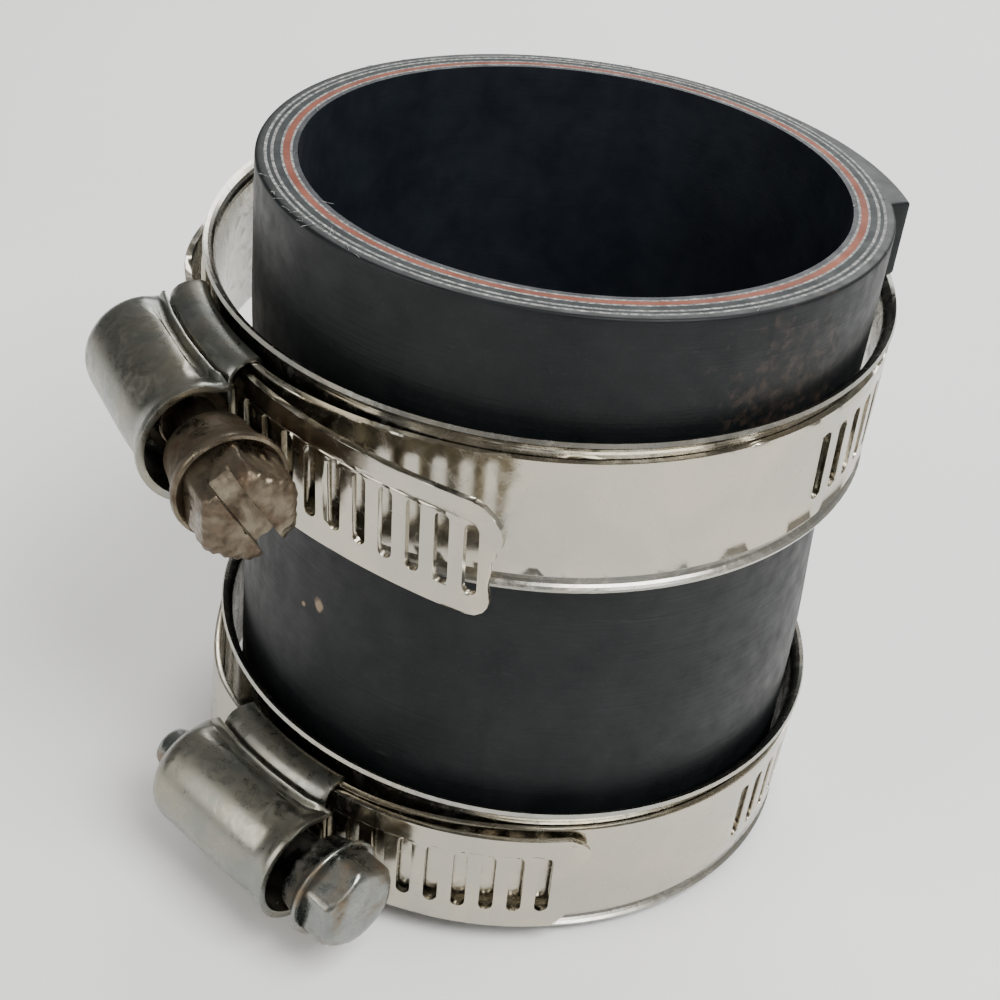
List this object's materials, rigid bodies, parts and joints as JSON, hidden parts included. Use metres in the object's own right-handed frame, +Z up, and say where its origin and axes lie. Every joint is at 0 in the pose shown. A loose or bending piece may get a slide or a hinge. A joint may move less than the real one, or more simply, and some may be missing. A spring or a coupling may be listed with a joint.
{
  "type": "clamped hose coupler",
  "caption": "Short fabric-reinforced rubber hose coupler with lined worm-drive clamps that slide, turn and tighten on it.",
  "frame": {"origin": "centre of the bore at the hose's lower end face", "axes": "+Z up along the hose's bore, -Y towards the side that carries the strap ends"},
  "size_m": [0.0866, 0.09, 0.08],
  "materials": {
    "tube_rubber": "satin",
    "barrier_rubber": "matt",
    "wall_rubber": "matt",
    "ply_fabric": "woven",
    "cover_rubber": "satin",
    "liner_steel": "satin",
    "band_steel": "bright rolled",
    "housing_steel": "dull pressed",
    "worn_screw_steel": "worn and tarnished",
    "plated_screw_steel": "zinc plated"
  },
  "bodies": {
    "hose": {"inner_tube": "tube_rubber", "inner_fabric_ply": "ply_fabric", "barrier_ply": "barrier_rubber", "barrier_fabric_ply": "ply_fabric", "tie_rubber": "wall_rubber", "middle_fabric_ply": "ply_fabric", "skim_rubber": "wall_rubber", "outer_fabric_ply": "ply_fabric", "outer_cover": "cover_rubber"},
    "upper_liner_ring": {"upper_liner": "liner_steel"},
    "upper_clamp": {"upper_band": "band_steel", "upper_saddle": "housing_steel", "upper_housing": "housing_steel"},
    "upper_worm": {"upper_screw": "worn_screw_steel"},
    "upper_strap": {"upper_strap_end": "band_steel"},
    "lower_liner_ring": {"lower_liner": "liner_steel"},
    "lower_clamp": {"lower_band": "band_steel", "lower_saddle": "housing_steel", "lower_housing": "housing_steel"},
    "lower_worm": {"lower_screw": "plated_screw_steel"},
    "lower_strap": {"lower_strap_end": "band_steel"}
  },
  "joints": [
    {"name": "upper_liner_slide", "type": "slide", "parent": "hose", "child": "upper_liner_ring", "axis": [0, 0, 1], "range_m": [-0.014, 0.001]},
    {"name": "upper_clamp_turn", "type": "hinge", "parent": "upper_liner_ring", "child": "upper_clamp", "pos_m": [-0.00145, 0.00185, 0.0605], "axis": [-0.0125, -0.0519, 0.9986], "continuous": true},
    {"name": "upper_screw_turn", "type": "hinge", "parent": "upper_clamp", "child": "upper_worm", "pos_m": [-0.0388, -0.02235, 0.05847], "axis": [-0.5448, 0.8377, 0.0367], "range_deg": [-540, 720]},
    {"name": "upper_strap_feed", "type": "hinge", "parent": "upper_clamp", "child": "upper_strap", "pos_m": [0.00409, 0.00545, 0.06046], "axis": [0.0065, -0.0811, 0.9967], "range_deg": [-6, 7.9]},
    {"name": "lower_liner_slide", "type": "slide", "parent": "hose", "child": "lower_liner_ring", "axis": [0, 0, 1], "range_m": [0, 0.01]},
    {"name": "lower_clamp_turn", "type": "hinge", "parent": "lower_liner_ring", "child": "lower_clamp", "pos_m": [-0.0004, 0, 0.0116], "axis": [0.0278, -0.0278, 0.9992], "continuous": true},
    {"name": "lower_screw_turn", "type": "hinge", "parent": "lower_clamp", "child": "lower_worm", "pos_m": [-0.02696, -0.03394, 0.01109], "axis": [-0.7872, 0.6155, 0.039], "range_deg": [-540, 720]},
    {"name": "lower_strap_feed", "type": "hinge", "parent": "lower_clamp", "child": "lower_strap", "pos_m": [-0.00164, -0.00157, 0.01129], "axis": [0.0278, -0.0278, 0.9992], "range_deg": [-7.6, 10]}
  ],
  "couplings": [
    {"joint": "upper_strap_feed", "follows": "upper_screw_turn", "ratio": 0.010786},
    {"joint": "lower_strap_feed", "follows": "lower_screw_turn", "ratio": 0.013731}
  ]
}
